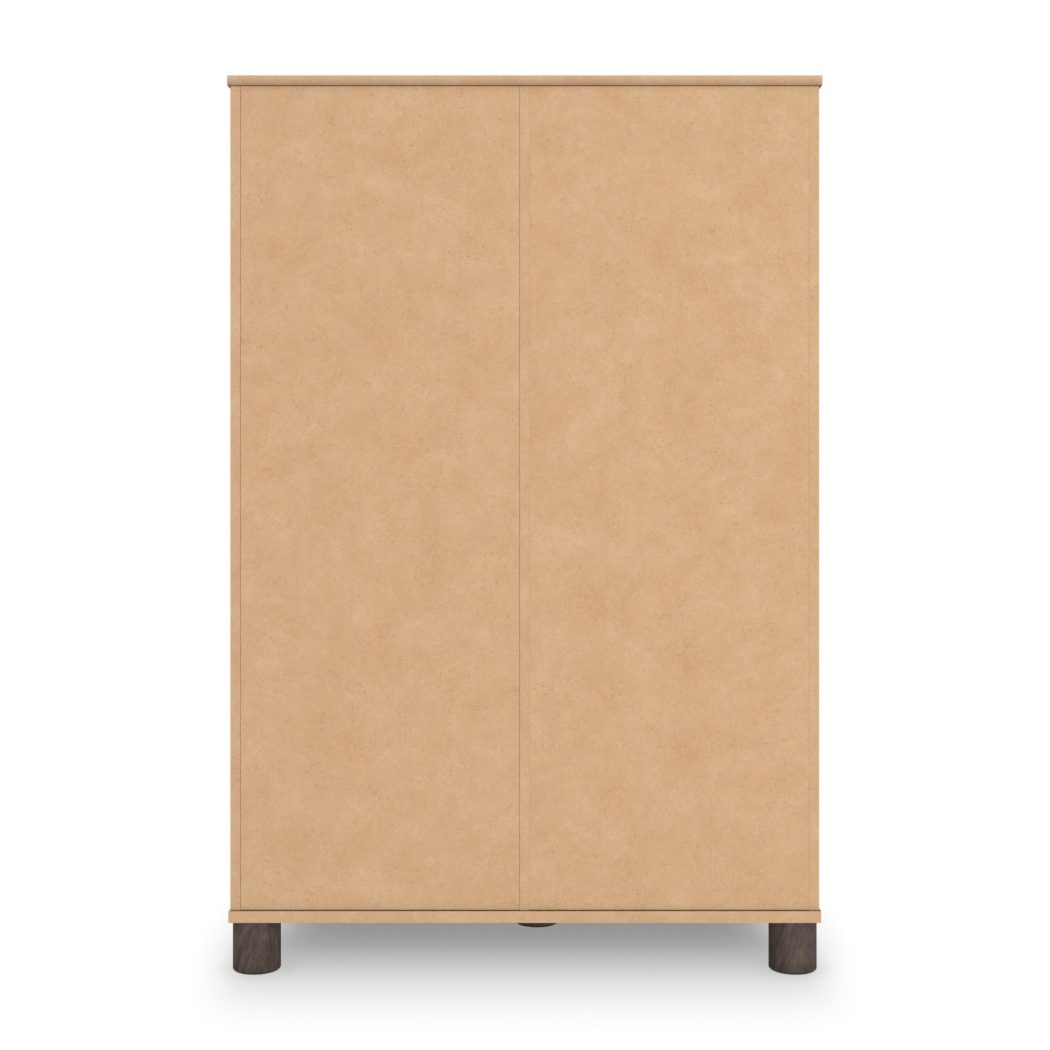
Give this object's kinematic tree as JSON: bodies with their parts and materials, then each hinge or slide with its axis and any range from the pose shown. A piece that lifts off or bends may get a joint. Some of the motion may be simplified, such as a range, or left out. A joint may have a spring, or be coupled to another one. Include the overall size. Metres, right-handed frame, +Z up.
{
  "type": "armoire",
  "caption": "Free-standing wardrobe with hinged doors over sliding drawers, a hanging rod and adjustable shelves inside, on round wooden legs.",
  "frame": {"origin": "on the floor, at the middle of the whole object's box", "axes": "+Z up, front with doors and drawers towards -Y, back towards +Y, +X to the right of someone facing the front"},
  "size_m": [0.911, 0.624, 1.378],
  "materials": {
    "dark_board": "dark grey-brown wood-grain laminate on board, bare brown core on the rear edges",
    "raw_board": "bare medium-density fibreboard",
    "leg_wood": "dark stained turned wood",
    "beech": "bare beech",
    "drawer_board": "pale wood-grain foil",
    "drawer_bottom_board": "hardboard, foiled",
    "zinc_steel": "zinc plated",
    "hinge_steel": "antique nickel",
    "handle_metal": "brushed nickel",
    "chrome_tube": "polished",
    "socket_metal": "satin die-cast",
    "black_plastic": "moulded",
    "felt": "pressed felt"
  },
  "bodies": {
    "carcass": {"base_board": "dark_board", "top_panel": "dark_board", "left_side_panel": "dark_board", "right_side_panel": "dark_board", "centre_partition": "dark_board", "left_back_panel": "raw_board", "right_back_panel": "raw_board", "left_divider_board": "dark_board", "right_divider_board": "dark_board", "cam_locks": "zinc_steel", "cam_bolts": "zinc_steel", "dowels": "beech", "rear_left_leg": "leg_wood", "rear_right_leg": "leg_wood", "front_left_leg": "leg_wood", "front_right_leg": "leg_wood", "centre_leg": "leg_wood", "leg_studs": "zinc_steel", "leg_glides": "felt", "hanging_rod": "chrome_tube", "rod_sockets": "socket_metal", "rod_socket_screws": "zinc_steel", "lower_shelf": "dark_board", "middle_shelf": "dark_board", "upper_shelf": "dark_board", "shelf_pins": "zinc_steel", "frame_hinge_leaves": "hinge_steel", "frame_hinge_screws": "zinc_steel", "hinge_pins": "hinge_steel", "magnetic_catches": "black_plastic", "drawer_cleats": "beech", "cleat_screws": "zinc_steel"},
    "left_door": {"left_door_leaf": "dark_board", "left_door_hinge_leaves": "hinge_steel", "left_door_hinge_screws": "zinc_steel", "left_door_handle": "handle_metal", "left_door_handle_screws": "zinc_steel", "left_door_strike_plate": "zinc_steel"},
    "right_door": {"right_door_leaf": "dark_board", "right_door_hinge_leaves": "hinge_steel", "right_door_hinge_screws": "zinc_steel", "right_door_handle": "handle_metal", "right_door_handle_screws": "zinc_steel", "right_door_strike_plate": "zinc_steel"},
    "left_drawer": {"left_drawer_front": "dark_board", "left_drawer_inner_side": "drawer_board", "left_drawer_outer_side": "drawer_board", "left_drawer_back": "drawer_board", "left_drawer_bottom": "drawer_bottom_board", "left_drawer_handle": "handle_metal", "left_drawer_handle_screws": "zinc_steel"},
    "right_drawer": {"right_drawer_front": "dark_board", "right_drawer_inner_side": "drawer_board", "right_drawer_outer_side": "drawer_board", "right_drawer_back": "drawer_board", "right_drawer_bottom": "drawer_bottom_board", "right_drawer_handle": "handle_metal", "right_drawer_handle_screws": "zinc_steel"}
  },
  "joints": [
    {"name": "left_door_hinge", "type": "hinge", "parent": "carcass", "child": "left_door", "pos_m": [-0.4353, -0.2854, 0.8595], "axis": [0, 0, -1], "range_deg": [0, 170]},
    {"name": "right_door_hinge", "type": "hinge", "parent": "carcass", "child": "right_door", "pos_m": [0.4353, -0.2854, 0.8595], "axis": [0, 0, 1], "range_deg": [0, 170]},
    {"name": "left_drawer_slide", "type": "slide", "parent": "carcass", "child": "left_drawer", "axis": [0, -1, 0], "range_m": [0, 0.4]},
    {"name": "right_drawer_slide", "type": "slide", "parent": "carcass", "child": "right_drawer", "axis": [0, -1, 0], "range_m": [0, 0.4]}
  ]
}
